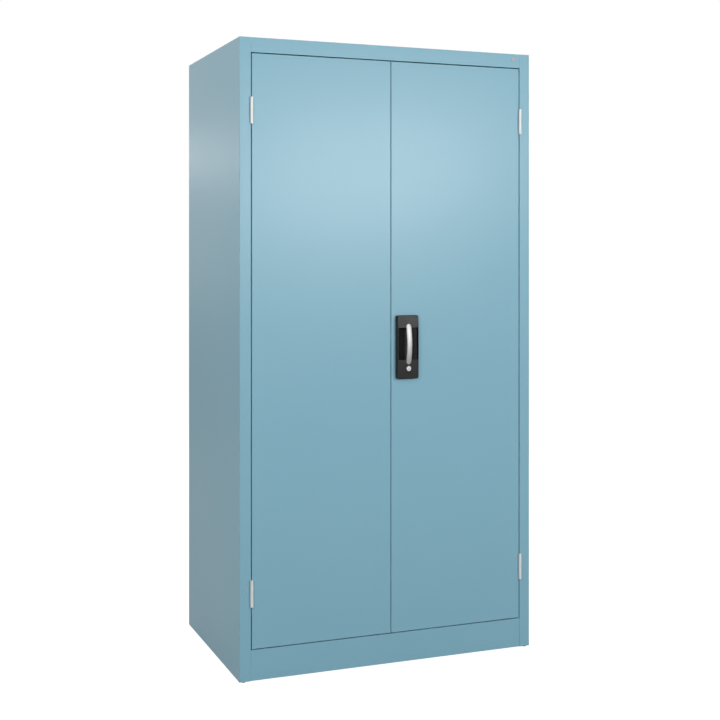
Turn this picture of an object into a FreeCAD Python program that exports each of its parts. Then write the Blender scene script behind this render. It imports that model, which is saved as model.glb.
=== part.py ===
import FreeCAD
import Part
import math
import os

# Two-door sheet-steel cabinet with drawers and shelves behind the doors.
# Millimetres. +X is to the right, +Y to the back, +Z up. The origin is the middle of the
# whole outline, handle included, on the floor under the glides.

Vector = FreeCAD.Vector
os.makedirs("parts", exist_ok=True)

# Driving dimensions: the body
body_width = 1000.0
body_depth = 600.0
body_height = 1950.0
carcass_sheet = 1.5
inner_sheet = 1.2
corner_radius = 2.0
bend_radius = 1.2
anchor_radius = 4.5
anchor_spacing = 800.0
anchor_drop = 100.0
cut_past = 1.0

# Driving dimensions: the glides and their foot plates
glide_height = 3.0
glide_radius = 8.0
glide_edge = 0.8
glide_stem_radius = 3.9
glide_stem_height = 14.0
glide_inset = 15.0
glide_front_inset = 10.5
foot_plate_sheet = 3.0
foot_plate_length = 35.0

# Driving dimensions: the front frame and the doors
stile_width = 36.25
stile_depth = 34.0
stile_return = 28.25
back_flange = 20.0
top_rail_height = 45.5
top_rail_return = 15.0
plinth_height = 93.0
plinth_setback = 2.0
plinth_return = 28.0
rail_setback = 0.5
side_gap = 3.0
centre_gap = 2.4
top_gap = 3.0
bottom_gap = 3.2
hinge_inset = 1.25
door_thickness = 22.0
door_sheet = 1.2
door_lip = 16.0
door_edge_radius = 1.0
stiffener_width = 60.0
stiffener_flange = 15.0
stiffener_end_gap = 20.0
stiffener_back_gap = 2.0
badge_radius = 6.5
badge_proud = 1.0
badge_inset = 60.0
badge_drop = 17.0

# Driving dimensions: the hinges
hinge_proud = 4.8
hinge_radius = 4.8
hinge_length = 82.0
hinge_seam = 0.6
hinge_end_radius = 0.8
hinge_leaf = 1.8
hinge_leaf_depth = 20.0
hinge_leaf_end = 0.8
hinge_pin_radius = 2.5
hinge_pin_below = 39.5
hinge_pin_above = 37.5
hinge_pin_play = 0.1
hinge_cap = 2.5
hinge_lower_z = 268.4
hinge_upper_z = 1731.0

# Driving dimensions: the handle housing with its pocket
housing_width = 73.7
housing_height = 201.0
housing_proud = 14.0
housing_x = 52.4
housing_z = 1001.5
housing_wall = 3.0
housing_corner = 6.0
housing_edge = 2.5
pocket_bottom_z = 961.2
pocket_top_z = 1062.2
pocket_depth = 22.0
pocket_rim_depth = 9.0
pocket_side_wall = 3.5
pocket_shell = 1.5
hub_boss_radius = 8.0
hub_boss_depth = 22.5
lock_boss_radius = 12.5
fit_play = 0.1
housing_hole_play = 0.35

# Driving dimensions: the bow
bow_x = 54.0
bow_width = 17.5
bow_top_z = 1075.0
bow_bottom_z = 947.0
bow_thickness = 7.0
bow_middle_proud = 27.0
bow_end_proud = 17.8
bow_seat_gap = 0.5
bow_inner_proud = 15.5
bow_top_foot = 17.0
bow_bottom_foot = 12.0
bow_heel_step = 1.0
bow_edge_radius = 2.6

# Driving dimensions: the lock
lock_z = 933.5
lock_radius = 7.8
lock_proud = 18.5
lock_back = 11.0
lock_edge = 0.7
lock_collar_width = 2.0
lock_collar_proud = 17.5
lock_collar_edge = 0.7
plug_radius = 5.4
plug_proud = 18.8
plug_back = 11.5
plug_edge = 0.5
plug_square = 6.0
plug_tail_back = 15.5
keyhole_width = 2.2
keyhole_height = 7.2
keyhole_depth = 9.0
cam_front = 12.5
cam_sheet = 2.0
cam_end_radius = 5.0
cam_hub_radius = 6.0
cam_play = 0.8
cam_notch_depth = 2.0
cam_notch_half = 6.0

# Driving dimensions: the latch
rack_module = 1.5
pinion_teeth = 15
pressure_angle = 20.0
tooth_backlash = 0.8
tooth_tip = 0.85
spindle_radius = 5.0
spindle_tail_radius = 4.0
spindle_tail_length = 3.6
rod_width = 10.0
rod_thickness = 4.0
rod_depth = 13.0
rod_above_door = 1.0
rod_below_door = 0.5
quarter_turn = math.pi / 2
guide_half_width = 10.0
guide_half_height = 8.0
guide_back = 20.0
guide_play = 0.3
guide_end_distance = 60.0
upper_guide_z = 1300.0
lower_guide_z = 700.0
case_margin = 12.0
case_flange = 10.0
case_above_hub = 28.0
case_above_pocket = 4.0
case_skirt = 20.0
keeper_half_width = 20.0
keeper_front = 6.0
keeper_back = 30.0
keeper_sheet = 3.0
keeper_hole_half_width = 6.5
keeper_hole_half_depth = 3.5

# Driving dimensions: the buffers and the magnets
buffer_x = 9.0
buffer_radius = 4.0
buffer_heights = (300.0, 800.0, 1250.0, 1700.0)
stop_gap = 0.4
magnet_inner_x = 4.0
magnet_outer_x = 14.0
magnet_half_height = 25.0
magnet_heights = (560.0, 1480.0)

# Driving dimensions: the partition, the uprights and the shelves
partition_half = 15.0
partition_setback = 27.0
upright_depth = 12.0
upright_width = 30.0
upright_setback = 65.0
slot_pitch = 50.0
slot_first = 150.0
slot_count = 35
slot_half_width = 6.0
slot_half_height = 4.0
shelf_height = 30.0
shelf_setback = 45.0
shelf_back_gap = 6.0
shelf_end_gap = 1.0
shelf_lip = 14.0
shelf_edge_radius = 1.0
shelf_above_slot = 11.0
left_shelf_slots = (7, 15, 24)
right_shelf_slots = (13, 23)
clip_sheet = 2.0
clip_half_width = 10.0
clip_leg = 18.0
clip_tongue = 14.0
peg_length = 6.0
peg_half_width = 5.0
peg_top = 7.5
peg_bottom = 14.5

# Driving dimensions: the drawers and their slides
drawer_setback = 84.0
drawer_front_heights = (205.0, 175.0, 150.0, 150.0)
drawer_front_depth = 16.0
drawer_front_edge = 1.0
drawer_front_gap = 3.0
drawer_gap = 4.0
drawer_door_clearance = 57.5
drawer_box_depth = 470.0
drawer_box_below = 12.0
drawer_box_above = 13.0
cheek_setback = 2.0
cheek_back_gap = 23.0
cheek_top_gap = 2.0
grip_drop = 12.0
grip_reach = 18.0
grip_sheet = 2.5
grip_lip = 22.0
grip_back = 30.0
grip_end_gap = 20.0
grip_edge_radius = 1.2
slide_space = 15.0
slide_sheet = 1.5
slide_height = 60.0
slide_front_gap = 2.0
outer_rail = (0.0, 11.0, 22.5, 467.0)
mid_rail = (3.0, 12.5, 18.0, 444.0)
inner_rail = (6.0, 15.0, 14.0, 462.0)
mid_rail_setback = 4.0

# Places that follow from the driving dimensions
half_width = body_width / 2
front = bow_middle_proud - (body_depth + bow_middle_proud) / 2
back = front + body_depth
base = glide_height
top = base + body_height
ceiling = top - carcass_sheet
floor_top = base + plinth_height
opening_half = half_width - stile_width
door_outer = opening_half - side_gap
door_inner = centre_gap / 2
door_bottom = floor_top + bottom_gap
rail_bottom = top - top_rail_height
door_top = rail_bottom - top_gap
door_back = front + door_thickness
door_frame_y = front + plinth_setback
stile_back = front + stile_depth
wall_inside = half_width - carcass_sheet
upright_face = wall_inside - upright_depth
hinge_x = opening_half - hinge_inset
hinge_y = front - hinge_proud
hinge_centres = (hinge_lower_z, hinge_upper_z)
housing_face = front - housing_proud
housing_bottom_z = housing_z - housing_height / 2
housing_top_z = housing_z + housing_height / 2
pocket_half = housing_width / 2 - pocket_side_wall
hub_z = bow_top_z - bow_width / 2
pitch_radius = rack_module * pinion_teeth / 2
rod_travel = pitch_radius * quarter_turn
rack_root = 1.25 * rack_module
rod_front = front + rod_depth
rod_back = rod_front + rod_thickness
upper_rod_x = bow_x - pitch_radius - rack_root - rod_width / 2
lower_rod_x = bow_x + pitch_radius + rack_root + rod_width / 2
upright_rows = (front + upright_setback, back - upright_setback)
drawer_front_y = front + drawer_setback
box_front_y = drawer_front_y + drawer_front_depth
cheek_x = hinge_x - drawer_door_clearance
drawer_left = partition_half + slide_space
drawer_right = cheek_x - slide_space
slide_walls = ((partition_half, 1), (cheek_x, -1))


def box(x0, x1, y0, y1, z0, z1):
    low = Vector(min(x0, x1), min(y0, y1), min(z0, z1))
    return Part.makeBox(abs(x1 - x0), abs(y1 - y0), abs(z1 - z0), low)


def rod_along(axis, radius, centre, start, end):
    # A cylinder along Y or Z through centre, from start to end on that axis
    if axis == "y":
        return Part.makeCylinder(radius, end - start, Vector(centre[0], start, centre[1]), Vector(0, 1, 0))
    return Part.makeCylinder(radius, end - start, Vector(centre[0], centre[1], start), Vector(0, 0, 1))


def plate_y(points, y0, y1):
    corners = [Vector(x, y0, z) for x, z in points]
    face = Part.Face(Part.makePolygon(corners + corners[:1]))
    return face.extrude(Vector(0, y1 - y0, 0))


def plate_z(points, z0, z1):
    corners = [Vector(x, y, z0) for x, y in points]
    face = Part.Face(Part.makePolygon(corners + corners[:1]))
    return face.extrude(Vector(0, 0, z1 - z0))


def plate_x(points, x0, x1):
    corners = [Vector(x0, y, z) for y, z in points]
    face = Part.Face(Part.makePolygon(corners + corners[:1]))
    return face.extrude(Vector(x1 - x0, 0, 0))


def join(shapes):
    whole = shapes[0].fuse(shapes[1:])
    return whole.removeSplitter()


def mirrored(shape):
    return shape.mirror(Vector(0, 0, 0), Vector(1, 0, 0))


def both_sides(shapes):
    return Part.makeCompound(shapes + [mirrored(shape) for shape in shapes])


def near(a, b):
    return abs(a - b) < 0.01


def soften(shape, radius, wanted):
    edges = [edge for edge in shape.Edges if wanted(edge.CenterOfMass)]
    return shape.makeFillet(radius, edges)


def soften_rim(shape, radius, at_rim):
    # Rounds the outermost circle among the edges that lie at a rim
    rims = [edge for edge in shape.Edges if at_rim(edge.CenterOfMass)]
    return shape.makeFillet(radius, [max(rims, key=lambda edge: edge.Length)])


def save(name, shape):
    shape.exportStep("parts/" + name + ".step")
    kinds = "valid" if shape.isValid() else "NOT VALID"
    print(name, len(shape.Solids), "solids", round(shape.Volume), "mm3", kinds)


# Carcass

def right_side_panel():
    t = carcass_sheet
    stile_in = opening_half
    outline = [
        (half_width, back), (half_width, front), (stile_in, front), (stile_in, stile_back),
        (stile_in + stile_return, stile_back), (stile_in + stile_return, stile_back - t),
        (stile_in + t, stile_back - t), (stile_in + t, front + t), (wall_inside, front + t),
        (wall_inside, back - 2 * t), (half_width - back_flange, back - 2 * t),
        (half_width - back_flange, back - t), (wall_inside, back - t), (wall_inside, back),
    ]
    upper = [
        (half_width, back), (half_width, front), (stile_in, front), (stile_in, front + t),
        (wall_inside, front + t), (wall_inside, back),
    ]
    panels = []
    for points, z0, z1 in ((outline, base, ceiling), (upper, ceiling, top)):
        panel = plate_z(points, z0, z1)
        panel = soften(panel, bend_radius, lambda c: near(c.x, stile_in) and near(c.y, front))
        panels.append(soften(panel, corner_radius, lambda c: near(c.x, half_width) and near(c.y, front)))
    foot_plates = []
    rows = (
        (front + t, stile_back - t, front + glide_front_inset),
        (back - 2 * t - foot_plate_length, back - 2 * t, back - glide_inset))
    for y0, y1, centre_y in rows:
        plate = box(stile_in + t, wall_inside, y0, y1, base, base + foot_plate_sheet)
        hole = rod_along(
            "z", glide_stem_radius + fit_play, (half_width - glide_inset, centre_y), base,
            base + foot_plate_sheet)
        foot_plates.append(plate.cut(hole))
    return join(panels + foot_plates)


def keeper_hole(x, z0, z1):
    y = rod_front + rod_thickness / 2
    return box(
        x - keeper_hole_half_width, x + keeper_hole_half_width, y - keeper_hole_half_depth,
        y + keeper_hole_half_depth, z0, z1)


def top_panel():
    t = carcass_sheet
    rail = front + rail_setback
    outline = [
        (back, top), (rail, top), (rail, rail_bottom), (stile_back, rail_bottom),
        (stile_back, rail_bottom + top_rail_return), (stile_back - t, rail_bottom + top_rail_return),
        (stile_back - t, rail_bottom + t), (rail + t, rail_bottom + t), (rail + t, ceiling),
        (back, ceiling),
    ]
    body = plate_x(outline, -opening_half, opening_half)
    body = soften(
        body, bend_radius, lambda c: near(c.y, rail) and (near(c.z, rail_bottom) or near(c.z, top)))
    ends = [box(side * opening_half, side * wall_inside, front + t, back, ceiling, top) for side in (-1, 1)]
    panel = join([body] + ends)
    return panel.cut(keeper_hole(upper_rod_x, rail_bottom - t, rail_bottom + 3 * t))


def floor_panel():
    t = carcass_sheet
    main = box(-wall_inside, wall_inside, stile_back, back - t, floor_top - t, floor_top)
    tongue = box(-opening_half, opening_half, door_frame_y, stile_back, floor_top - t, floor_top)
    panel = join([main, tongue])
    notches = [
        box(
            side * (half_width - back_flange), side * wall_inside, back - 2 * t, back - t, floor_top - t,
            floor_top)
        for side in (-1, 1)
    ]
    return panel.cut(notches + [keeper_hole(lower_rod_x, floor_top - 3 * t, floor_top + t)])


def plinth_panel():
    t = carcass_sheet
    face = door_frame_y
    outline = [
        (face, floor_top - t), (face, base), (face + plinth_return, base), (face + plinth_return, base + t),
        (face + t, base + t), (face + t, floor_top - t),
    ]
    return plate_x(outline, -opening_half, opening_half)


def back_panel():
    sheet = box(-wall_inside, wall_inside, back - carcass_sheet, back, base, ceiling)
    holes = [
        rod_along(
            "y", anchor_radius, (side * anchor_spacing / 2, top - anchor_drop),
            back - carcass_sheet - cut_past, back + cut_past)
        for side in (-1, 1)
    ]
    return sheet.cut(holes)


def corner_glides():
    glides = []
    for y in (front + glide_front_inset, back - glide_inset):
        centre = (half_width - glide_inset, y)
        pad = rod_along("z", glide_radius, centre, 0, glide_height)
        pad = soften_rim(pad, glide_edge, lambda c: near(c.z, 0))
        stem = rod_along("z", glide_stem_radius, centre, glide_height, glide_height + glide_stem_height)
        glides.append(join([pad, stem]))
    return both_sides(glides)


def slot_z(index):
    return base + slot_first + slot_pitch * index


def slots(x0, x1, rows):
    cuts = []
    for index in range(slot_count):
        z = slot_z(index)
        for y in rows:
            cuts.append(box(
                x0, x1, y - slot_half_width, y + slot_half_width, z - slot_half_height,
                z + slot_half_height))
    return cuts


def centre_partition():
    t = inner_sheet
    back_y = back - carcass_sheet
    front_y = front + partition_setback
    outer = box(-partition_half, partition_half, front_y, back_y, floor_top, ceiling)
    inner = box(-partition_half + t, partition_half - t, front_y + t, back_y - t, floor_top, ceiling)
    rail_notch = box(-partition_half, partition_half, front_y, stile_back, rail_bottom, ceiling)
    return outer.cut([inner, rail_notch]).cut(slots(-partition_half - t, partition_half + t, upright_rows))


def slotted_uprights():
    t = carcass_sheet
    face = upright_face
    half = upright_width / 2
    uprights = []
    for y in upright_rows:
        outline = [
            (wall_inside, y - half), (face, y - half), (face, y + half), (wall_inside, y + half),
            (wall_inside, y + half - t), (face + t, y + half - t), (face + t, y - half + t),
            (wall_inside, y - half + t),
        ]
        upright = plate_z(outline, floor_top, ceiling)
        uprights.append(upright.cut(slots(face - t, face + 2 * t, (y,))))
    return both_sides(uprights)


def shelf_bottom(slot_index):
    return slot_z(slot_index) + shelf_above_slot


def right_shelf(slot_index):
    t = inner_sheet
    x0 = partition_half + shelf_end_gap
    x1 = upright_face - shelf_end_gap
    y0 = front + shelf_setback
    y1 = back - shelf_back_gap
    z0 = shelf_bottom(slot_index)
    z1 = z0 + shelf_height
    outer = box(x0, x1, y0, y1, z0, z1)
    outer = soften(outer, shelf_edge_radius, lambda c: near(c.z, z1) and near(c.y, y0))
    hollow = box(x0 + t, x1 - t, y0 + t, y1 - t, z0 + t, z1 - t)
    lip = shelf_lip
    window = box(x0 + lip, x1 - lip, y0 + lip, y1 - lip, z0, z0 + t)
    return outer.cut([hollow, window])


def shelf_clip(wall_x, inward, row_y, under_z):
    leg = box(
        wall_x, wall_x + clip_sheet * inward, row_y - clip_half_width, row_y + clip_half_width,
        under_z - clip_leg, under_z)
    tongue = box(
        wall_x, wall_x + clip_tongue * inward, row_y - clip_half_width, row_y + clip_half_width,
        under_z - clip_sheet, under_z)
    peg = box(
        wall_x - peg_length * inward, wall_x, row_y - peg_half_width, row_y + peg_half_width,
        under_z - peg_bottom, under_z - peg_top)
    return join([leg, tongue, peg])


def shelf_clips():
    clips = []
    for side, indices in ((-1, left_shelf_slots), (1, right_shelf_slots)):
        for index in indices:
            for row_y in upright_rows:
                under = shelf_bottom(index)
                clips.append(shelf_clip(side * partition_half, side, row_y, under))
                clips.append(shelf_clip(side * upright_face, -side, row_y, under))
    return Part.makeCompound(clips)


def drawer_cheek():
    t = inner_sheet
    y0 = drawer_front_y + cheek_setback
    y1 = back - cheek_back_gap
    outline = [
        (cheek_x, y0), (wall_inside, y0), (wall_inside, y0 + t), (cheek_x + t, y0 + t),
        (cheek_x + t, y1 - t), (wall_inside, y1 - t), (wall_inside, y1), (cheek_x, y1),
    ]
    return plate_z(outline, floor_top, shelf_bottom(right_shelf_slots[0]) - cheek_top_gap)


def rod_keeper(x, z0):
    plate = box(
        x - keeper_half_width, x + keeper_half_width, front + keeper_front, front + keeper_back,
        z0, z0 + keeper_sheet)
    return plate.cut(keeper_hole(x, z0 - cut_past, z0 + keeper_sheet + cut_past))


def rod_keepers():
    upper = rod_keeper(upper_rod_x, rail_bottom + carcass_sheet)
    lower = rod_keeper(lower_rod_x, floor_top - carcass_sheet - keeper_sheet)
    return Part.makeCompound([upper, lower])


def door_buffers():
    buffers = []
    for x in (-buffer_x, buffer_x):
        for z in buffer_heights:
            buffers.append(rod_along(
                "y", buffer_radius, (x, z), door_back + stop_gap, front + partition_setback))
    return Part.makeCompound(buffers)


def magnet_catches():
    magnets = []
    for z in magnet_heights:
        magnets.append(box(
            -magnet_outer_x, -magnet_inner_x, door_back + stop_gap, front + partition_setback,
            z - magnet_half_height, z + magnet_half_height))
    return Part.makeCompound(magnets)


def blank_badge():
    seat = front + rail_setback
    face = seat - badge_proud
    badge = rod_along("y", badge_radius, (half_width - badge_inset, top - badge_drop), face, seat)
    return soften_rim(badge, badge_proud / 3, lambda c: near(c.y, face))


# Hinges

def frame_knuckle(centre_z):
    z0 = centre_z - hinge_length / 2
    z1 = centre_z - hinge_seam / 2
    barrel = rod_along("z", hinge_radius, (hinge_x, hinge_y), z0, z1)
    barrel = soften_rim(barrel, hinge_end_radius, lambda c: near(c.z, z0))
    leaf = box(
        opening_half - hinge_leaf, opening_half, hinge_y, front + hinge_leaf_depth, z0 + hinge_leaf_end, z1)
    return join([barrel, leaf]).cut(hinge_pin(centre_z))


def door_knuckle(centre_z):
    z0 = centre_z + hinge_seam / 2
    z1 = centre_z + hinge_length / 2
    barrel = rod_along("z", hinge_radius, (hinge_x, hinge_y), z0, z1)
    barrel = soften_rim(barrel, hinge_end_radius, lambda c: near(c.z, z1))
    leaf = box(
        door_outer, door_outer + hinge_leaf, hinge_y, front + hinge_leaf_depth, z0, z1 - hinge_leaf_end)
    bore = rod_along("z", hinge_pin_radius + hinge_pin_play, (hinge_x, hinge_y), z0, z1 - hinge_cap)
    return join([barrel, leaf]).cut(bore)


def hinge_pin(centre_z):
    return rod_along(
        "z", hinge_pin_radius, (hinge_x, hinge_y), centre_z - hinge_pin_below, centre_z + hinge_pin_above)


# Doors

def door_tray():
    t = door_sheet
    lip = door_lip
    outer = box(door_inner, door_outer, front, door_back, door_bottom, door_top)
    outer = soften(outer, door_edge_radius, lambda c: near(c.y, front))
    hollow = box(door_inner + t, door_outer - t, front + t, door_back - t, door_bottom + t, door_top - t)
    window = box(
        door_inner + lip, door_outer - lip, door_back - t, door_back, door_bottom + lip, door_top - lip)
    return outer.cut([hollow, window])


def right_door_panel():
    y0 = front - cut_past
    y1 = front + door_sheet + cut_past
    margin = pocket_shell + housing_hole_play
    half = pocket_half + margin
    pocket = box(
        housing_x - half, housing_x + half, y0, y1, pocket_bottom_z - margin, pocket_top_z + margin)
    hub = rod_along("y", hub_boss_radius + housing_hole_play, (bow_x, hub_z), y0, y1)
    lock = rod_along("y", lock_radius + 2 * fit_play, (bow_x, lock_z), y0, y1)
    upper = keeper_hole(upper_rod_x, door_top - 3 * door_sheet, door_top + cut_past)
    lower = keeper_hole(lower_rod_x, door_bottom - cut_past, door_bottom + 3 * door_sheet)
    return door_tray().cut([pocket, hub, lock, upper, lower])


def right_door_stiffener():
    t = inner_sheet
    middle = (door_inner + door_outer) / 2
    crest = stiffener_width / 2
    foot = crest + stiffener_flange
    near_y = front + door_sheet
    far_y = door_back - stiffener_back_gap
    outline = [
        (middle - foot, near_y), (middle - crest, near_y), (middle - crest, far_y - t),
        (middle + crest, far_y - t),
        (middle + crest, near_y), (middle + foot, near_y), (middle + foot, near_y + t),
        (middle + crest + t, near_y + t), (middle + crest + t, far_y), (middle - crest - t, far_y),
        (middle - crest - t, near_y + t), (middle - foot, near_y + t),
    ]
    return plate_z(outline, door_bottom + stiffener_end_gap, door_top - stiffener_end_gap)


# Handle housing, bow and lock

def trough(offset, z0, z1):
    # Upright trough with a hollow-ground floor, open towards the front
    half = pocket_half + offset
    rim = housing_face + pocket_rim_depth
    floor = housing_face + pocket_depth + offset
    left = Vector(housing_x - half, rim, z0)
    right = Vector(housing_x + half, rim, z0)
    edges = [
        Part.Arc(left, Vector(housing_x, floor, z0), right).toShape(),
        Part.makeLine(right, Vector(housing_x + half, housing_face, z0)),
        Part.makeLine(
            Vector(housing_x + half, housing_face, z0), Vector(housing_x - half, housing_face, z0)),
        Part.makeLine(Vector(housing_x - half, housing_face, z0), left),
    ]
    return Part.Face(Part.Wire(edges)).extrude(Vector(0, 0, z1 - z0))


def handle_housing():
    wall = housing_wall
    face = housing_face
    x0 = housing_x - housing_width / 2
    x1 = housing_x + housing_width / 2
    block = box(x0, x1, face, front, housing_bottom_z, housing_top_z)
    block = soften(block, housing_corner, lambda c: near(c.y, (face + front) / 2))
    block = soften(block, housing_edge, lambda c: near(c.y, face))
    shell = trough(pocket_shell, pocket_bottom_z - pocket_shell, pocket_top_z + pocket_shell)
    pocket = trough(0, pocket_bottom_z, pocket_top_z)
    upper_hollow = box(x0 + wall, x1 - wall, face + wall, front, pocket_top_z + wall, housing_top_z - wall)
    lower_hollow = box(
        x0 + wall, x1 - wall, face + wall, front, housing_bottom_z + wall, pocket_bottom_z - wall)
    body = block.fuse(shell).cut([pocket, upper_hollow, lower_hollow])
    hub_boss = rod_along("y", hub_boss_radius, (bow_x, hub_z), face, face + hub_boss_depth)
    lock_boss = rod_along("y", lock_boss_radius, (bow_x, lock_z), face + wall / 2, front)
    collar_face = front - lock_collar_proud
    collar_radius = lock_radius + lock_collar_width
    collar = rod_along("y", collar_radius, (bow_x, lock_z), collar_face, face + wall / 2)
    collar = soften_rim(collar, lock_collar_edge, lambda c: near(c.y, collar_face))
    body = body.fuse([hub_boss, lock_boss, collar])
    hub_back = face + hub_boss_depth
    hub_bore = rod_along(
        "y", spindle_radius + fit_play, (bow_x, hub_z), face - cut_past, hub_back + cut_past)
    lock_bore = rod_along("y", lock_radius, (bow_x, lock_z), collar_face - cut_past, front + cut_past)
    return body.cut([hub_bore, lock_bore]).removeSplitter()


def bow_outline():
    # The bow seen from the front: a strap with two round ends
    half = bow_width / 2
    y0 = front - 2 * bow_middle_proud
    low_z = bow_bottom_z + half
    round_top = rod_along("y", half, (bow_x, hub_z), y0, front)
    round_bottom = rod_along("y", half, (bow_x, low_z), y0, front)
    strap = box(bow_x - half, bow_x + half, y0, front, low_z, hub_z)
    return join([round_top, strap, round_bottom])


def handle_bow():
    # Side outline of the bow: proud is the distance in front of the door face
    middle_z = (bow_top_z + bow_bottom_z) / 2
    seat = housing_proud + bow_seat_gap

    def point(proud, z):
        return Vector(bow_x - bow_width / 2, front - proud, z)

    top_front = point(bow_end_proud, bow_top_z)
    top_seat = point(seat, bow_top_z)
    top_heel = point(seat, bow_top_z - bow_top_foot)
    top_inner = point(bow_inner_proud, bow_top_z - bow_top_foot - bow_heel_step)
    bottom_inner = point(bow_inner_proud, bow_bottom_z + bow_bottom_foot + bow_heel_step)
    bottom_heel = point(seat, bow_bottom_z + bow_bottom_foot)
    bottom_seat = point(seat, bow_bottom_z)
    bottom_front = point(bow_end_proud, bow_bottom_z)
    outer_middle = point(bow_middle_proud, middle_z)
    inner_middle = point(bow_middle_proud - bow_thickness, middle_z)
    edges = [
        Part.Arc(top_front, outer_middle, bottom_front).toShape(),
        Part.makeLine(bottom_front, bottom_seat),
        Part.makeLine(bottom_seat, bottom_heel),
        Part.makeLine(bottom_heel, bottom_inner),
        Part.Arc(bottom_inner, inner_middle, top_inner).toShape(),
        Part.makeLine(top_inner, top_heel),
        Part.makeLine(top_heel, top_seat),
        Part.makeLine(top_seat, top_front),
    ]
    strap = Part.Face(Part.Wire(edges)).extrude(Vector(bow_width, 0, 0))
    bow = strap.common(bow_outline()).removeSplitter()
    half_area = bow_width * (bow_top_z - bow_bottom_z) / 2
    broad_faces = [face for face in bow.Faces if face.Area > half_area]
    outer_face = min(broad_faces, key=lambda face: face.CenterOfMass.y)
    return bow.makeFillet(bow_edge_radius, outer_face.Edges)


def tooth_half_widths():
    # Half widths of a straight-flanked tooth at its root and its tip
    slope = math.tan(math.radians(pressure_angle))
    half = (math.pi * rack_module / 2 - tooth_backlash / 2) / 2
    return half + rack_root * slope, half - tooth_tip * rack_module * slope


def latch_pinion():
    root_radius = pitch_radius - rack_root
    tip_radius = pitch_radius + tooth_tip * rack_module
    root_half, tip_half = tooth_half_widths()
    points = []
    for tooth in range(pinion_teeth):
        angle = 2 * math.pi * tooth / pinion_teeth
        for radius, side in (
                (root_radius, -root_half), (tip_radius, -tip_half), (tip_radius, tip_half),
                (root_radius, root_half)):
            x = radius * math.cos(angle) - side * math.sin(angle)
            z = radius * math.sin(angle) + side * math.cos(angle)
            points.append((bow_x + x, hub_z + z))
    wheel = plate_y(points, rod_front, rod_back)
    spindle = rod_along("y", spindle_radius, (bow_x, hub_z), housing_face - bow_seat_gap, rod_front)
    tail = rod_along("y", spindle_tail_radius, (bow_x, hub_z), rod_back, rod_back + spindle_tail_length)
    return join([wheel, spindle, tail])


def rack_rod(rod_x, towards_pinion, z0, z1, rack_z0, rack_z1, tooth_z):
    # Flat bar with rack teeth on the edge that faces the pinion; tooth_z is the middle of one tooth
    bar = box(rod_x - rod_width / 2, rod_x + rod_width / 2, rod_front, rod_back, z0, z1)
    edge_x = rod_x + towards_pinion * rod_width / 2
    pitch_x = edge_x + towards_pinion * rack_root
    tip_x = pitch_x + towards_pinion * tooth_tip * rack_module
    root_half, tip_half = tooth_half_widths()
    step = math.pi * rack_module
    first = math.ceil((rack_z0 - tooth_z) / step)
    last = math.floor((rack_z1 - tooth_z) / step)
    teeth = []
    for index in range(first, last + 1):
        z = tooth_z + index * step
        corners = [
            (edge_x, z - root_half), (tip_x, z - tip_half), (tip_x, z + tip_half), (edge_x, z + root_half)]
        teeth.append(plate_y(corners, rod_front, rod_back))
    return join([bar] + teeth)


def upper_rod():
    # With an odd number of teeth the pinion has a space on the left when it has a tooth on the right
    reach = pitch_radius
    return rack_rod(
        upper_rod_x, 1, hub_z - reach, door_top + rod_above_door, hub_z - reach,
        hub_z + rod_travel + reach, hub_z)


def lower_rod():
    reach = pitch_radius
    half_step = math.pi * rack_module / 2
    rod = rack_rod(
        lower_rod_x, -1, door_bottom - rod_below_door, hub_z + reach, hub_z - rod_travel - reach,
        hub_z + reach, hub_z + half_step)
    notch_x = lower_rod_x - rod_width / 2
    notch = box(
        notch_x, notch_x + cam_notch_depth, rod_front - cut_past, rod_back + cut_past,
        lock_z - cam_notch_half, lock_z + cam_notch_half)
    return rod.cut(notch)


def rod_guides():
    guides = []
    play = guide_play
    places = (
        (upper_rod_x, door_top - guide_end_distance), (upper_rod_x, upper_guide_z),
        (lower_rod_x, lower_guide_z), (lower_rod_x, door_bottom + guide_end_distance))
    for x, z in places:
        block = box(
            x - guide_half_width, x + guide_half_width, front + door_sheet, front + guide_back,
            z - guide_half_height, z + guide_half_height)
        way = box(
            x - rod_width / 2 - play, x + rod_width / 2 + play, rod_front - play, rod_back + play,
            z - guide_half_height - cut_past, z + guide_half_height + cut_past)
        guides.append(block.cut(way))
    return Part.makeCompound(guides)


def latch_case():
    t = inner_sheet
    x0 = upper_rod_x - case_margin
    x1 = lower_rod_x + case_margin
    z0 = pocket_top_z + case_above_pocket
    z1 = hub_z + case_above_hub
    near_y = front + door_sheet
    far_y = front + guide_back
    outline = [
        (x0 - case_flange, near_y), (x0 + t, near_y), (x0 + t, far_y - t), (x1 - t, far_y - t),
        (x1 - t, near_y), (x1 + case_flange, near_y), (x1 + case_flange, near_y + t), (x1, near_y + t),
        (x1, far_y), (x0, far_y), (x0, near_y + t), (x0 - case_flange, near_y + t),
    ]
    cover = plate_z(outline, z0, z1)
    skirt = box(x0, x1, far_y - t, far_y, z0 - case_skirt, z0)
    bearing = rod_along("y", spindle_tail_radius + fit_play, (bow_x, hub_z), front, far_y + cut_past)
    return join([cover, skirt]).cut(bearing)


def lock_cylinder():
    face = front - lock_proud
    barrel = rod_along("y", lock_radius, (bow_x, lock_z), face, front + lock_back)
    barrel = soften_rim(barrel, lock_edge, lambda c: near(c.y, face))
    bore = rod_along(
        "y", plug_radius + fit_play, (bow_x, lock_z), face - cut_past, front + lock_back + cut_past)
    return barrel.cut(bore)


def square_bar(y0, y1):
    half = plug_square / 2
    return box(bow_x - half, bow_x + half, y0, y1, lock_z - half, lock_z + half)


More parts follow.
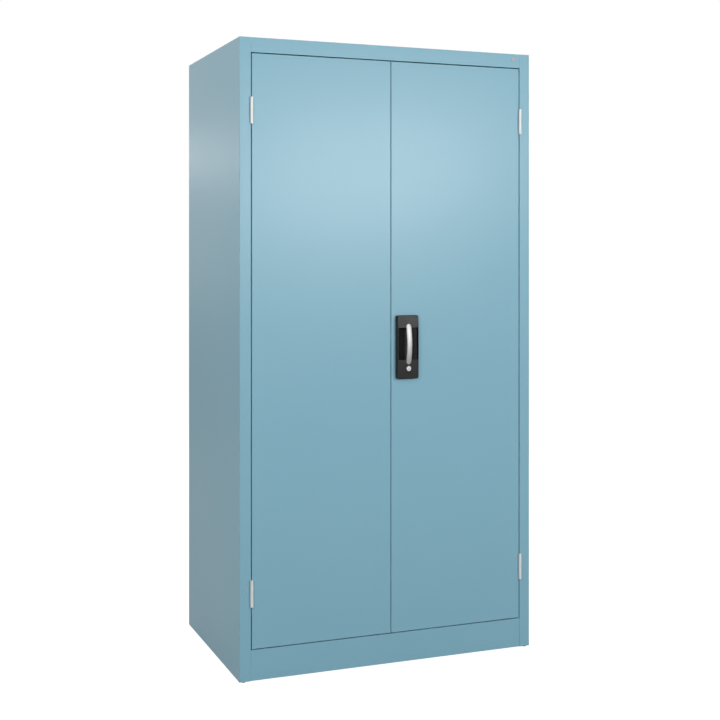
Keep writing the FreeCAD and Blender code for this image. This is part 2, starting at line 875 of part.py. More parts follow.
def lock_plug():
    face = front - plug_proud
    plug = rod_along("y", plug_radius, (bow_x, lock_z), face, front + plug_back)
    plug = soften_rim(plug, plug_edge, lambda c: near(c.y, face))
    keyhole = box(
        bow_x - keyhole_width / 2, bow_x + keyhole_width / 2, face, face + keyhole_depth,
        lock_z - keyhole_height / 2, lock_z + keyhole_height / 2)
    return join([plug.cut(keyhole), square_bar(front + plug_back, front + plug_tail_back)])


def lock_cam():
    y0 = front + cam_front
    y1 = y0 + cam_sheet
    reach = lower_rod_x - rod_width / 2 - bow_x - cam_play
    tip_z = lock_z - reach + cam_end_radius
    hub = rod_along("y", cam_hub_radius, (bow_x, lock_z), y0, y1)
    arm = box(bow_x - cam_end_radius, bow_x + cam_end_radius, y0, y1, tip_z, lock_z)
    tip = rod_along("y", cam_end_radius, (bow_x, tip_z), y0, y1)
    return join([hub, arm, tip]).cut(square_bar(y0, y1))


# Drawers

def drawer_levels():
    levels = []
    low = floor_top + drawer_gap
    for height in drawer_front_heights:
        levels.append((low, low + height))
        low += height + drawer_gap
    return levels


def drawer_box(z0, z1):
    t = inner_sheet
    y1 = box_front_y + drawer_box_depth
    low = z0 + drawer_box_below
    high = z1 - drawer_box_above
    outer = box(drawer_left, drawer_right, box_front_y, y1, low, high)
    inner = box(drawer_left + t, drawer_right - t, box_front_y + t, y1 - t, low + t, high)
    return outer.cut(inner)


def drawer_front(z0, z1):
    t = inner_sheet
    x0 = partition_half + drawer_front_gap
    x1 = cheek_x - drawer_front_gap
    outer = box(x0, x1, drawer_front_y, box_front_y, z0, z1)
    outer = soften(outer, drawer_front_edge, lambda c: near(c.y, drawer_front_y))
    return outer.cut(box(x0 + t, x1 - t, drawer_front_y + t, box_front_y, z0 + t, z1 - t))


def drawer_handle(z1):
    y = drawer_front_y
    tip = y - grip_reach
    t = grip_sheet
    high = z1 - grip_drop
    outline = [
        (y, high), (tip, high), (tip, high - grip_lip), (tip + t, high - grip_lip), (tip + t, high - t),
        (y - t, high - t), (y - t, high - grip_back), (y, high - grip_back),
    ]
    inset = drawer_front_gap + grip_end_gap
    grip = plate_x(outline, partition_half + inset, cheek_x - inset)
    return soften(grip, grip_edge_radius, lambda c: near(c.y, tip) and near(c.z, high))


def channel(wall_x, inward, rail, open_to_wall, y0, z):
    # C channel of a slide; the rail gives its two distances from the wall, half height and length
    near_t, far_t, half_height, length = rail
    t = slide_sheet
    x_near = wall_x + inward * near_t
    x_far = wall_x + inward * far_t
    web_in = x_far - inward * t if open_to_wall else x_near + inward * t
    mouth = x_near if open_to_wall else x_far
    outer = box(x_near, x_far, y0, y0 + length, z - half_height, z + half_height)
    return outer.cut(box(web_in, mouth, y0, y0 + length, z - half_height + t, z + half_height - t))


def slide_part(z0, rail, open_to_wall, setback):
    z = z0 + slide_height
    y0 = box_front_y + setback
    return [channel(wall, inward, rail, open_to_wall, y0, z) for wall, inward in slide_walls]


def outer_rails(z0):
    return slide_part(z0, outer_rail, False, slide_front_gap)


def mid_rails(z0):
    return slide_part(z0, mid_rail, False, mid_rail_setback)


def inner_rails(z0):
    return slide_part(z0, inner_rail, True, slide_front_gap)


save("right_side_panel", right_side_panel())
save("left_side_panel", mirrored(right_side_panel()))
save("top_panel", top_panel())
save("floor_panel", floor_panel())
save("plinth_panel", plinth_panel())
save("back_panel", back_panel())
save("corner_glides", corner_glides())
save("centre_partition", centre_partition())
save("slotted_uprights", slotted_uprights())
for number, index in enumerate(left_shelf_slots, 1):
    save("left_shelf_%d" % number, mirrored(right_shelf(index)))
for number, index in enumerate(right_shelf_slots, 1):
    save("right_shelf_%d" % number, right_shelf(index))
save("shelf_clips", shelf_clips())
save("drawer_cheek", drawer_cheek())
save("rod_keepers", rod_keepers())
save("door_buffers", door_buffers())
save("magnet_catches", magnet_catches())
save("blank_badge", blank_badge())
save("frame_knuckles", both_sides([frame_knuckle(z) for z in hinge_centres]))
save("hinge_pins", both_sides([hinge_pin(z) for z in hinge_centres]))
all_outer_rails = [rail for z0, z1 in drawer_levels() for rail in outer_rails(z0)]
save("drawer_outer_rails", Part.makeCompound(all_outer_rails))

save("right_door_panel", right_door_panel())
save("left_door_panel", mirrored(door_tray()))
save("right_door_stiffener", right_door_stiffener())
save("left_door_stiffener", mirrored(right_door_stiffener()))
right_knuckles = [door_knuckle(z) for z in hinge_centres]
save("right_door_knuckles", Part.makeCompound(right_knuckles))
save("left_door_knuckles", Part.makeCompound([mirrored(knuckle) for knuckle in right_knuckles]))

save("handle_housing", handle_housing())
save("handle_bow", handle_bow())
save("latch_pinion", latch_pinion())
save("latch_case", latch_case())
save("rod_guides", rod_guides())
save("upper_rod", upper_rod())
save("lower_rod", lower_rod())
save("lock_cylinder", lock_cylinder())
save("lock_plug", lock_plug())
save("lock_cam", lock_cam())

for number, (z0, z1) in enumerate(drawer_levels(), 1):
    prefix = "drawer_%d_" % number
    save(prefix + "box", drawer_box(z0, z1))
    save(prefix + "front", drawer_front(z0, z1))
    save(prefix + "handle", drawer_handle(z1))
    save(prefix + "inner_rails", Part.makeCompound(inner_rails(z0)))
    save(prefix + "mid_rails", Part.makeCompound(mid_rails(z0)))
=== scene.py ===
import bmesh
import bpy
import math
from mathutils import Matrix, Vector


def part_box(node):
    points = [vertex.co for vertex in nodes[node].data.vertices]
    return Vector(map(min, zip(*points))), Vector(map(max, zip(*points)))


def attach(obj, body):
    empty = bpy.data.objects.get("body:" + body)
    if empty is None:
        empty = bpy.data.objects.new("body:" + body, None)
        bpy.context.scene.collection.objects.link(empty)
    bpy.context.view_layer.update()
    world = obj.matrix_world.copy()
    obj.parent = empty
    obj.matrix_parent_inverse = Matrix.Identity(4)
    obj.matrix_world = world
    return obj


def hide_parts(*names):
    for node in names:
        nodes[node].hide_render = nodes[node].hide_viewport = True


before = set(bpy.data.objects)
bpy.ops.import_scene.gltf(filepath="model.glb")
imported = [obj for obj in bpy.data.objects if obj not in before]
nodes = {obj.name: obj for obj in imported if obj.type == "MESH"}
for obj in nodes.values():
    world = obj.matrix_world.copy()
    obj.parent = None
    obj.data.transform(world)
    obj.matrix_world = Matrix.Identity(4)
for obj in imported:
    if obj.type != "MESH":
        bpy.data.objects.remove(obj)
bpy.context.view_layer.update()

MM = 0.001

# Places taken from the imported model
door_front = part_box("right_door_panel")[0].y
door_sheet = 1.2 * MM
housing_low, housing_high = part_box("handle_housing")
housing_face = housing_low.y
housing_x = (housing_low.x + housing_high.x) / 2
bow_low, bow_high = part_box("handle_bow")
bow_x = (bow_low.x + bow_high.x) / 2
lock_low, lock_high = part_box("lock_cylinder")
lock_z = (lock_low.z + lock_high.z) / 2
lock_radius = (lock_high.x - lock_low.x) / 2
hub_z = bow_high.z - (bow_high.x - bow_low.x) / 2
case_low, case_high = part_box("latch_case")
drawer_numbers = (1, 2, 3, 4)

# The handle housing, in real sizes
pocket_bottom = 961.2 * MM
pocket_top = 1062.2 * MM
pocket_half = (housing_high.x - housing_low.x) / 2 - 3.5 * MM
pocket_depth = 22 * MM
pocket_rim_depth = 9 * MM
pocket_shell = 1.5 * MM
pocket_strips = 16
housing_corner = 6 * MM
housing_edge = 2.5 * MM
housing_crown = 2.1 * MM
crown_levels = 12
rim_edge = 0.9 * MM
hub_radius = 8 * MM
spindle_radius = 5 * MM
collar_radius = lock_radius + 2 * MM
collar_face = door_front - 17.5 * MM
collar_edge = 0.7 * MM

# The bow, in real sizes
bow_end_proud = 17.8 * MM
bow_thickness = 7 * MM
bow_inner_proud = 15.5 * MM
bow_seat_proud = 14.5 * MM
bow_top_foot = 17 * MM
bow_bottom_foot = 12 * MM
bow_levels = 26
bow_crown = 1.6 * MM
bow_columns = (-0.66, -0.33, 0.0, 0.33, 0.66)

# Small hardware, in real sizes
screw_radius = 2.6 * MM
screw_height = 1.5 * MM
nut_radius = 12.5 * MM
nut_height = 3.5 * MM
# The dark block in the key slot is painted shade for the keyhole's depth
keyhole_shade_size = (2.2 * MM, 1.0 * MM, 7.2 * MM)
keyhole_shade_sink = 0.5 * MM
holder_size = (84 * MM, 1.8 * MM, 30 * MM)
holder_rim = 2.4 * MM
holder_drop = 72 * MM
ball_pitch = 18 * MM
balls_in_a_row = 9


# Small tools of the modelling bench

def drop_all():
    for thing in bpy.context.selected_objects:
        thing.select_set(False)


def hold(piece):
    drop_all()
    piece.select_set(True)
    bpy.context.view_layer.objects.active = piece


def settle(piece):
    hold(piece)
    bpy.ops.object.transform_apply(location=True, rotation=True, scale=True)


def pick(piece, kind, wanted):
    # Selects the vertices, edges or faces of the piece in edit mode for which wanted is true
    bpy.ops.mesh.select_mode(type=kind)
    bpy.ops.mesh.select_all(action="DESELECT")
    cage = bmesh.from_edit_mesh(piece.data)
    items = {"VERT": cage.verts, "EDGE": cage.edges, "FACE": cage.faces}[kind]
    for item in items:
        if wanted(item):
            item.select_set(True)
    cage.select_flush_mode()
    bmesh.update_edit_mesh(piece.data)


def facing(face, sign):
    return face.normal.y * sign > 0.6


def between_front_and_side(sign):
    # True for the edges between a face along Y, by its sign, and one across it
    def test(edge):
        fronts = [facing(face, sign) for face in edge.link_faces]
        return len(fronts) == 2 and fronts[0] != fronts[1] and min(
            abs(face.normal.y) for face in edge.link_faces) < 0.3
    return test


def along(edge, axis):
    step = edge.verts[1].co - edge.verts[0].co
    return abs(step["xyz".index(axis)]) > 0.999 * step.length


def block(name, low, high):
    low = Vector(low)
    high = Vector(high)
    bpy.ops.mesh.primitive_cube_add(size=1, location=(low + high) / 2)
    piece = bpy.context.object
    piece.name = name
    piece.scale = high - low
    settle(piece)
    return piece


def round_bar(name, radius, depth, centre, axis="z", steps=48):
    turn = {"x": (0, math.pi / 2, 0), "y": (math.pi / 2, 0, 0), "z": (0, 0, 0)}[axis]
    bpy.ops.mesh.primitive_cylinder_add(
        vertices=steps, radius=radius, depth=depth, location=centre, rotation=turn)
    piece = bpy.context.object
    piece.name = name
    settle(piece)
    return piece


def start_edit(piece):
    hold(piece)
    bpy.ops.object.mode_set(mode="EDIT")


def end_edit():
    bpy.ops.object.mode_set(mode="OBJECT")


def slice_at(piece, axis, places):
    normal = {"x": (1, 0, 0), "y": (0, 1, 0), "z": (0, 0, 1)}[axis]
    for place in places:
        bpy.ops.mesh.select_all(action="SELECT")
        bpy.ops.mesh.bisect(plane_co=[place * part for part in normal], plane_no=normal)


def round_edges(piece, wanted, radius, steps):
    pick(piece, "EDGE", wanted)
    bpy.ops.mesh.bevel(offset=radius, segments=steps, affect="EDGES")


def shift(piece, wanted, step):
    pick(piece, "VERT", wanted)
    bpy.ops.transform.translate(value=step)


def level_set(piece, axis):
    # Every place along the axis at which the piece in edit mode has vertices
    return sorted({round(getattr(v.co, axis), 7) for v in bmesh.from_edit_mesh(piece.data).verts})


def spread(low, high, count):
    # The places of count equal steps from low to high, both ends left out
    return [low + (high - low) * step / count for step in range(1, count)]


def close(a, b, room=0.01 * MM):
    return abs(a - b) < room


def finish_with(piece, kind, **settings):
    hold(piece)
    step = piece.modifiers.new(kind.lower(), kind)
    for key, value in settings.items():
        setattr(step, key, value)
    bpy.ops.object.modifier_apply(modifier=step.name)


def carve(piece, tool, action="DIFFERENCE"):
    finish_with(piece, "BOOLEAN", operation=action, object=tool, solver="EXACT")
    bpy.data.objects.remove(tool)


def smooth(piece, degrees=35):
    # Rounded edges shade smoothly and broad faces stay flat
    hold(piece)
    bpy.ops.object.shade_smooth_by_angle(angle=math.radians(degrees))
    finish_with(piece, "WEIGHTED_NORMAL", keep_sharp=True)


def gather(name, pieces):
    drop_all()
    for piece in pieces:
        piece.select_set(True)
    bpy.context.view_layer.objects.active = pieces[0]
    bpy.ops.object.join()
    whole = bpy.context.object
    whole.name = name
    return whole


def copy_to(pattern, shift):
    twin = pattern.copy()
    twin.data = pattern.data.copy()
    bpy.context.collection.objects.link(twin)
    twin.location = shift
    settle(twin)
    return twin


def fit(piece, body, material):
    piece.data.materials.clear()
    piece.data.materials.append(material)
    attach(piece, body)
    return piece


# Shared finish effects

def new_group(name, inputs, outputs):
    group = bpy.data.node_groups.new(name, "ShaderNodeTree")
    for label, kind, value in inputs:
        socket = group.interface.new_socket(name=label, in_out="INPUT", socket_type=kind)
        if value is not None:
            socket.default_value = value
    for label, kind in outputs:
        group.interface.new_socket(name=label, in_out="OUTPUT", socket_type=kind)
    start = group.nodes.new("NodeGroupInput")
    end = group.nodes.new("NodeGroupOutput")
    return group, start, end


def add(tree, kind, **values):
    node = tree.nodes.new(kind)
    for key, value in values.items():
        if key in node.inputs:
            node.inputs[key].default_value = value
        else:
            setattr(node, key, value)
    return node


def object_place(tree):
    return tree.nodes.new("ShaderNodeTexCoord").outputs["Object"]


def make_sprayed_skin():
    # The fine soft bumps of sprayed or moulded surfaces
    group, start, end = new_group(
        "sprayed_skin",
        [("Cells per metre", "NodeSocketFloat", 400.0), ("Height", "NodeSocketFloat", 0.1)],
        [("Normal", "NodeSocketVector"), ("Mask", "NodeSocketFloat")])
    links = group.links
    place = object_place(group)
    fine = add(group, "ShaderNodeTexNoise", Detail=2.0, Roughness=0.5)
    links.new(place, fine.inputs["Vector"])
    links.new(start.outputs["Cells per metre"], fine.inputs["Scale"])
    bump = add(group, "ShaderNodeBump", Distance=0.0005)
    links.new(fine.outputs["Fac"], bump.inputs["Height"])
    links.new(start.outputs["Height"], bump.inputs["Strength"])
    links.new(bump.outputs["Normal"], end.inputs["Normal"])
    links.new(fine.outputs["Fac"], end.inputs["Mask"])
    return group


def make_leather_grain():
    # Moulded leather grain: rounded pebbles with creases between them, some pressed deeper than others
    group, start, end = new_group(
        "leather_grain",
        [("Pebbles per metre", "NodeSocketFloat", 350.0), ("Height", "NodeSocketFloat", 0.5)],
        [("Normal", "NodeSocketVector"), ("Mask", "NodeSocketFloat")])
    links = group.links
    place = object_place(group)
    pebbles = add(group, "ShaderNodeTexVoronoi", feature="SMOOTH_F1", Smoothness=0.5, Randomness=1.0)
    links.new(place, pebbles.inputs["Vector"])
    links.new(start.outputs["Pebbles per metre"], pebbles.inputs["Scale"])
    wider = add(group, "ShaderNodeMath", operation="MULTIPLY")
    wider.inputs[1].default_value = 0.6
    links.new(start.outputs["Pebbles per metre"], wider.inputs[0])
    pressing = add(group, "ShaderNodeTexNoise", Detail=1.0)
    links.new(place, pressing.inputs["Vector"])
    links.new(wider.outputs["Value"], pressing.inputs["Scale"])
    relief = add(group, "ShaderNodeMath", operation="SUBTRACT")
    links.new(pressing.outputs["Fac"], relief.inputs[0])
    links.new(pebbles.outputs["Distance"], relief.inputs[1])
    bump = add(group, "ShaderNodeBump", Distance=0.001)
    links.new(relief.outputs["Value"], bump.inputs["Height"])
    links.new(start.outputs["Height"], bump.inputs["Strength"])
    links.new(bump.outputs["Normal"], end.inputs["Normal"])
    links.new(relief.outputs["Value"], end.inputs["Mask"])
    return group


def make_tone_drift():
    # A colour that drifts a little over the surface, in patches of a given size
    group, start, end = new_group(
        "tone_drift",
        [("Colour", "NodeSocketColor", (0.5, 0.5, 0.5, 1)), ("Other colour", "NodeSocketColor", (0.5, 0.5, 0.5, 1)),
         ("Patches per metre", "NodeSocketFloat", 3.0)],
        [("Colour", "NodeSocketColor"), ("Mask", "NodeSocketFloat")])
    links = group.links
    place = object_place(group)
    patches = add(group, "ShaderNodeTexNoise", Detail=4.0, Roughness=0.55)
    links.new(place, patches.inputs["Vector"])
    links.new(start.outputs["Patches per metre"], patches.inputs["Scale"])
    spread = add(group, "ShaderNodeMapRange")
    spread.inputs["From Min"].default_value = 0.3
    spread.inputs["From Max"].default_value = 0.7
    links.new(patches.outputs["Fac"], spread.inputs["Value"])
    blend = add(group, "ShaderNodeMix", data_type="RGBA")
    links.new(spread.outputs["Result"], blend.inputs["Factor"])
    links.new(start.outputs["Colour"], blend.inputs[6])
    links.new(start.outputs["Other colour"], blend.inputs[7])
    links.new(blend.outputs[2], end.inputs["Colour"])
    links.new(spread.outputs["Result"], end.inputs["Mask"])
    return group


def make_drawn_lines():
    # Fine lines left by rolling, drawing or brushing, along one axis of the object
    group, start, end = new_group(
        "drawn_lines",
        [("Lines per metre", "NodeSocketVector", (30.0, 30.0, 1500.0)), ("Low", "NodeSocketFloat", 0.3),
         ("High", "NodeSocketFloat", 0.4)],
        [("Roughness", "NodeSocketFloat"), ("Mask", "NodeSocketFloat")])
    links = group.links
    place = object_place(group)
    stretch = add(group, "ShaderNodeVectorMath", operation="MULTIPLY")
    links.new(place, stretch.inputs[0])
    links.new(start.outputs["Lines per metre"], stretch.inputs[1])
    lines = add(group, "ShaderNodeTexNoise", Scale=1.0, Detail=3.0, Roughness=0.6)
    links.new(stretch.outputs["Vector"], lines.inputs["Vector"])
    spread = add(group, "ShaderNodeMapRange")
    spread.inputs["From Min"].default_value = 0.3
    spread.inputs["From Max"].default_value = 0.7
    links.new(lines.outputs["Fac"], spread.inputs["Value"])
    links.new(start.outputs["Low"], spread.inputs["To Min"])
    links.new(start.outputs["High"], spread.inputs["To Max"])
    links.new(spread.outputs["Result"], end.inputs["Roughness"])
    links.new(lines.outputs["Fac"], end.inputs["Mask"])
    return group


def make_zinc_flowers():
    # The flower-like crystals of hot-dipped zinc
    group, start, end = new_group(
        "zinc_flowers",
        [("Flowers per metre", "NodeSocketFloat", 70.0), ("Dark", "NodeSocketColor", (0.5, 0.5, 0.5, 1)),
         ("Light", "NodeSocketColor", (0.7, 0.7, 0.7, 1))],
        [("Colour", "NodeSocketColor"), ("Mask", "NodeSocketFloat")])
    links = group.links
    place = object_place(group)
    warp = add(group, "ShaderNodeTexNoise", Scale=60.0, Detail=2.0)
    links.new(place, warp.inputs["Vector"])
    pull = add(group, "ShaderNodeMix", data_type="VECTOR")
    pull.inputs["Factor"].default_value = 0.012
    links.new(place, pull.inputs[4])
    links.new(warp.outputs["Color"], pull.inputs[5])
    flowers = add(group, "ShaderNodeTexVoronoi", Randomness=1.0)
    links.new(pull.outputs[1], flowers.inputs["Vector"])
    links.new(start.outputs["Flowers per metre"], flowers.inputs["Scale"])
    grey = add(group, "ShaderNodeRGBToBW")
    links.new(flowers.outputs["Color"], grey.inputs["Color"])
    blend = add(group, "ShaderNodeMix", data_type="RGBA")
    links.new(grey.outputs["Val"], blend.inputs["Factor"])
    links.new(start.outputs["Dark"], blend.inputs[6])
    links.new(start.outputs["Light"], blend.inputs[7])
    links.new(blend.outputs[2], end.inputs["Colour"])
    links.new(grey.outputs["Val"], end.inputs["Mask"])
    return group


sprayed_skin = make_sprayed_skin()
leather_grain = make_leather_grain()
tone_drift = make_tone_drift()
drawn_lines = make_drawn_lines()
zinc_flowers = make_zinc_flowers()


# Materials

def new_material(name, **sockets):
    material = bpy.data.materials.new(name)
    material.use_nodes = True
    shader = material.node_tree.nodes["Principled BSDF"]
    for key, value in sockets.items():
        shader.inputs[key.replace("_", " ")].default_value = value
    return material, material.node_tree, shader


def place_group(tree, group, **values):
    node = tree.nodes.new("ShaderNodeGroup")
    node.node_tree = group
    for key, value in values.items():
        node.inputs[key.replace("_", " ")].default_value = value
    return node


def rgb(red, green, blue):
    return (red, green, blue, 1.0)


def painted_steel(name, colour, other, roughness, specular=0.3):
    material, tree, shader = new_material(name, Roughness=roughness)
    shader.inputs["Specular IOR Level"].default_value = specular
    tone = place_group(tree, tone_drift, Colour=colour, Other_colour=other, Patches_per_metre=2.5)
    skin = place_group(tree, sprayed_skin, Cells_per_metre=420.0, Height=0.06)
    tree.links.new(tone.outputs["Colour"], shader.inputs["Base Color"])
    tree.links.new(skin.outputs["Normal"], shader.inputs["Normal"])
    return material


def bare_metal(name, colour, other, low, high, lines, metallic=1.0):
    material, tree, shader = new_material(name, Metallic=metallic)
    tone = place_group(tree, tone_drift, Colour=colour, Other_colour=other, Patches_per_metre=40.0)
    drawn = place_group(tree, drawn_lines, Lines_per_metre=lines, Low=low, High=high)
    tree.links.new(tone.outputs["Colour"], shader.inputs["Base Color"])
    tree.links.new(drawn.outputs["Roughness"], shader.inputs["Roughness"])
    return material


def zinc_sheet(name):
    material, tree, shader = new_material(name, Metallic=0.85)
    flowers = place_group(
        tree, zinc_flowers, Flowers_per_metre=65.0, Dark=rgb(0.52, 0.54, 0.56), Light=rgb(0.70, 0.71, 0.72))
    rough = add(tree, "ShaderNodeMapRange")
    rough.inputs["To Min"].default_value = 0.34
    rough.inputs["To Max"].default_value = 0.5
    tree.links.new(flowers.outputs["Colour"], shader.inputs["Base Color"])
    tree.links.new(flowers.outputs["Mask"], rough.inputs["Value"])
    tree.links.new(rough.outputs["Result"], shader.inputs["Roughness"])
    return material


def moulded_plastic(name, colour, other, roughness, cells, height):
    material, tree, shader = new_material(name, Roughness=roughness)
    tone = place_group(tree, tone_drift, Colour=colour, Other_colour=other, Patches_per_metre=250.0)
    skin = place_group(tree, sprayed_skin, Cells_per_metre=cells, Height=height)
    tree.links.new(tone.outputs["Colour"], shader.inputs["Base Color"])
    tree.links.new(skin.outputs["Normal"], shader.inputs["Normal"])
    return material


def leathered_plastic(name, colour, other, roughness, pebbles, height, specular):
    material, tree, shader = new_material(name)
    shader.inputs["Specular IOR Level"].default_value = specular
    tone = place_group(tree, tone_drift, Colour=colour, Other_colour=other, Patches_per_metre=170.0)
    grain = place_group(tree, leather_grain, Pebbles_per_metre=pebbles, Height=height)
    rough = add(tree, "ShaderNodeMapRange")
    rough.inputs["From Min"].default_value = -0.2
    rough.inputs["From Max"].default_value = 0.5
    rough.inputs["To Min"].default_value = roughness + 0.1
    rough.inputs["To Max"].default_value = roughness - 0.06
    # Painted shade: the creases between the pebbles are darkened in the base colour, as their occlusion would shade
    # them, against their tops
    depth = add(tree, "ShaderNodeMapRange")
    depth.inputs["From Min"].default_value = -0.2
    depth.inputs["From Max"].default_value = 0.4
    crease_painted_shade = add(tree, "ShaderNodeMix", data_type="RGBA")
    crease_painted_shade.inputs[6].default_value = rgb(0.001, 0.001, 0.001)
    tree.links.new(grain.outputs["Mask"], depth.inputs["Value"])
    tree.links.new(depth.outputs["Result"], crease_painted_shade.inputs["Factor"])
    tree.links.new(tone.outputs["Colour"], crease_painted_shade.inputs[7])
    tree.links.new(crease_painted_shade.outputs[2], shader.inputs["Base Color"])
    tree.links.new(grain.outputs["Mask"], rough.inputs["Value"])
    tree.links.new(rough.outputs["Result"], shader.inputs["Roughness"])
    tree.links.new(grain.outputs["Normal"], shader.inputs["Normal"])
    return material


cabinet_blue = painted_steel("blue_powder_coat", rgb(0.198, 0.388, 0.479), rgb(0.192, 0.380, 0.471), 0.32)
drawer_grey = painted_steel("grey_powder_coat", rgb(0.56, 0.58, 0.57), rgb(0.53, 0.55, 0.545), 0.4)
zinc = zinc_sheet("galvanised_sheet")
hinge_steel = bare_metal(
    "plated_hinge", rgb(0.66, 0.66, 0.645), rgb(0.62, 0.62, 0.61), 0.52, 0.62, (900.0, 900.0, 60.0), 0.3)
housing_black = leathered_plastic(
    "housing_plastic", rgb(0.011, 0.011, 0.0115), rgb(0.022, 0.022, 0.0225), 0.3, 430.0, 0.3, 0.28)
bow_metal = bare_metal(
    "satin_bow", rgb(0.41, 0.41, 0.41), rgb(0.39, 0.39, 0.39), 0.52, 0.58, (600.0, 600.0, 80.0))
lock_chrome = bare_metal(
    "chromed_lock", rgb(0.60, 0.60, 0.61), rgb(0.56, 0.56, 0.57), 0.3, 0.38, (800.0, 800.0, 800.0), 0.6)
buffer_rubber = moulded_plastic("soft_rubber", rgb(0.028, 0.028, 0.028), rgb(0.045, 0.044, 0.042), 0.75, 500.0, 0.3)
glide_plastic = moulded_plastic("hard_plastic", rgb(0.03, 0.03, 0.032), rgb(0.045, 0.045, 0.045), 0.6, 500.0, 0.3)
grip_aluminium = bare_metal(
    "anodised_grip", rgb(0.66, 0.67, 0.68), rgb(0.61, 0.62, 0.63), 0.32, 0.42, (20.0, 900.0, 900.0))
badge_grey = painted_steel("badge_lacquer", rgb(0.37, 0.37, 0.37), rgb(0.34, 0.34, 0.34), 0.35)
insert_white = moulded_plastic("blank_insert", rgb(0.78, 0.78, 0.76), rgb(0.74, 0.74, 0.72), 0.6, 900.0, 0.1)

finish_of_slot = {
    "cabinet_blue": cabinet_blue,
    "drawer_grey": drawer_grey,
    "galvanised": zinc,
    "hinge_steel": hinge_steel,
    "housing_black": housing_black,
    "bow_metal": bow_metal,
    "lock_chrome": lock_chrome,
    "buffer_rubber": buffer_rubber,
    "glide_plastic": glide_plastic,
    "grip_aluminium": grip_aluminium,
    "badge_grey": badge_grey,
}


def dress_the_nodes():
    # Each node comes with a plain material named after its slot
    for node in nodes.values():
        slot = node.material_slots[0].material.name
        node.material_slots[0].material = finish_of_slot[slot]


dress_the_nodes()


# The handle housing: a moulded shell with a hollow-ground pocket, a hub boss, and a raised collar and bore for the
# lock

def trough(name, offset, mouth):
    # The pocket's form: straight sides down to the rim, then a hollow-ground floor
    half = pocket_half + offset
    rim = housing_face + pocket_rim_depth
    sag = pocket_depth + offset - pocket_rim_depth
    radius = (half ** 2 + sag ** 2) / (2 * sag)
    form = block(
        name, (housing_x - half, mouth, pocket_bottom - offset), (housing_x + half, rim, pocket_top + offset))
    stations = spread(housing_x - half, housing_x + half, pocket_strips)
    start_edit(form)
    slice_at(form, "x", stations)
    for station in stations:
        drop = math.sqrt(radius ** 2 - (station - housing_x) ** 2) - radius + sag
        shift(form, lambda v, x=station: close(v.co.x, x) and close(v.co.y, rim), (0, drop, 0))
    end_edit()
    return form


def crowned_face(z):
    # The front face falls back a little towards its upper and lower end
    half = (housing_high.z - housing_low.z) / 2
    part = (z - housing_low.z - half) / half
    return housing_face + housing_crown * part ** 2


def on_pocket_rim(edge):
    return all(
        close(v.co.y, crowned_face(v.co.z), 0.2 * MM) and abs(v.co.x - housing_x) < pocket_half + 0.1 * MM
        and pocket_bottom - 0.1 * MM < v.co.z < pocket_top + 0.1 * MM for v in edge.verts)


def lock_collar():
    # The raised ring that stands round the lock, with its outer edge rounded
    back = housing_face + 2 * MM
    collar = round_bar(
        "lock_collar", collar_radius, back - collar_face, (bow_x, (collar_face + back) / 2, lock_z), "y", 64)
    start_edit(collar)
    round_edges(collar, lambda e: all(close(v.co.y, collar_face) for v in e.verts), collar_edge, 3)
    end_edit()
    return collar


def make_handle_shell():
    low = (housing_low.x, housing_face, housing_low.z)
    high = (housing_high.x, door_front, housing_high.z)
    shell = block("handle_shell", low, high)
    start_edit(shell)
    round_edges(shell, lambda e: along(e, "y"), housing_corner, 7)
    slice_at(shell, "z", spread(housing_low.z + housing_corner, housing_high.z - housing_corner, crown_levels))
    for z in level_set(shell, "z"):
        shift(
            shell, lambda v, z=z: close(v.co.z, z) and close(v.co.y, housing_face),
            (0, crowned_face(z) - housing_face, 0))
    round_edges(shell, between_front_and_side(-1), housing_edge, 5)
    end_edit()
    carve(shell, trough("pocket_back", pocket_shell, housing_face + 3 * MM), "UNION")
    carve(shell, trough("pocket_form", 0, housing_face - 5 * MM))
    carve(shell, lock_collar(), "UNION")
    hub_back = housing_face + 22.5 * MM
    boss_middle = (housing_face + 0.4 * MM + hub_back) / 2
    hub_length = hub_back - housing_face - 0.4 * MM
    carve(shell, round_bar("hub_boss", hub_radius, hub_length, (bow_x, boss_middle, hub_z), "y"), "UNION")
    start_edit(shell)
    round_edges(shell, on_pocket_rim, rim_edge, 3)
    end_edit()
    bore = spindle_radius + 0.15 * MM
    carve(shell, round_bar("hub_bore", bore, 60 * MM, (bow_x, housing_face, hub_z), "y"))
    carve(shell, round_bar("lock_bore", lock_radius + 0.15 * MM, 60 * MM, (bow_x, housing_face, lock_z), "y", 64))
    smooth(shell, 40)
    fit(shell, "right_door", housing_black)
    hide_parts("handle_housing")


make_handle_shell()


# The bow: a crowned strap, bent forwards between its two feet

def bow_arc(z, end_proud, middle_proud, low, high):
    centre = (low + high) / 2
    reach = (high - low) / 2
    lift = middle_proud - end_proud
    radius = (reach ** 2 + lift ** 2) / (2 * lift)
    return middle_proud - radius + math.sqrt(radius ** 2 - min(abs(z - centre), reach) ** 2)


def bow_front_proud(z):
    return bow_arc(z, bow_end_proud, door_front - bow_low.y, bow_low.z, bow_high.z)


def bow_back_proud(z):
    low = bow_low.z + bow_bottom_foot
    high = bow_high.z - bow_top_foot
    if z < low or z > high:
        return bow_seat_proud
    return bow_arc(z, bow_inner_proud, door_front - bow_low.y - bow_thickness, low, high)


